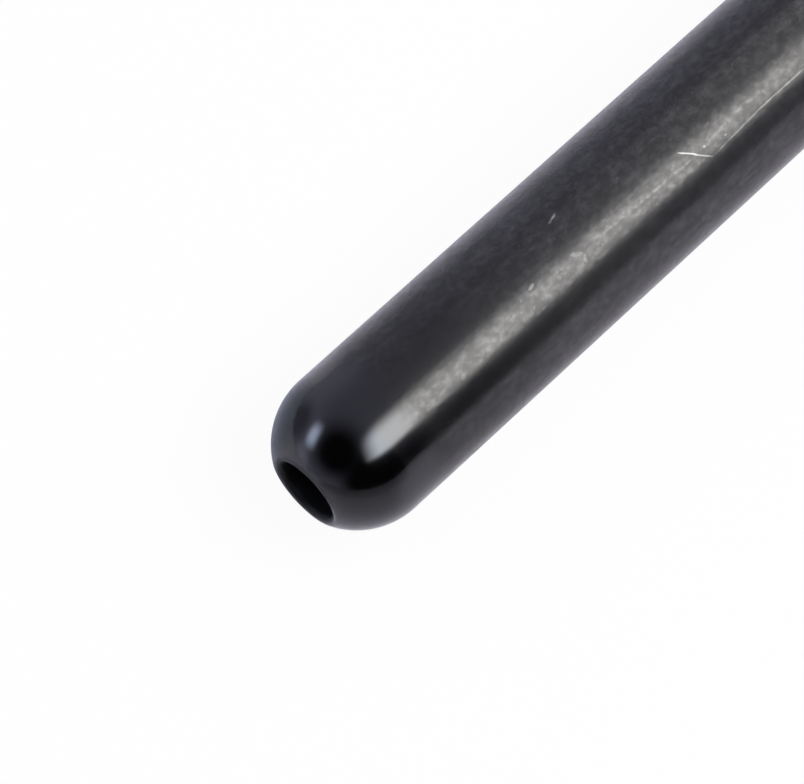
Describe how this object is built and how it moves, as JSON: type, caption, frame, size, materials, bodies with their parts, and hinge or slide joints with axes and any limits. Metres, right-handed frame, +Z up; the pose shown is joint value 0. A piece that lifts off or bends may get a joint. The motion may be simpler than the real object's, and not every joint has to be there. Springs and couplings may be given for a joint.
{
  "type": "engine pushrod",
  "caption": "Straight hollow steel pushrod with formed half-ball ends, each pierced by an oil hole, that carries the lift of a valve lifter to a rocker arm.",
  "frame": {"origin": "on the rod's axis, halfway between its two tips", "axes": "+X along the rod, from the lifter end to the rocker end; +Z up as the rod lies on a bench"},
  "size_m": [0.198, 0.008, 0.008],
  "materials": {
    "oxide_steel": "satin"
  },
  "bodies": {
    "root": {"pushrod": "oxide_steel"}
  },
  "joints": []
}
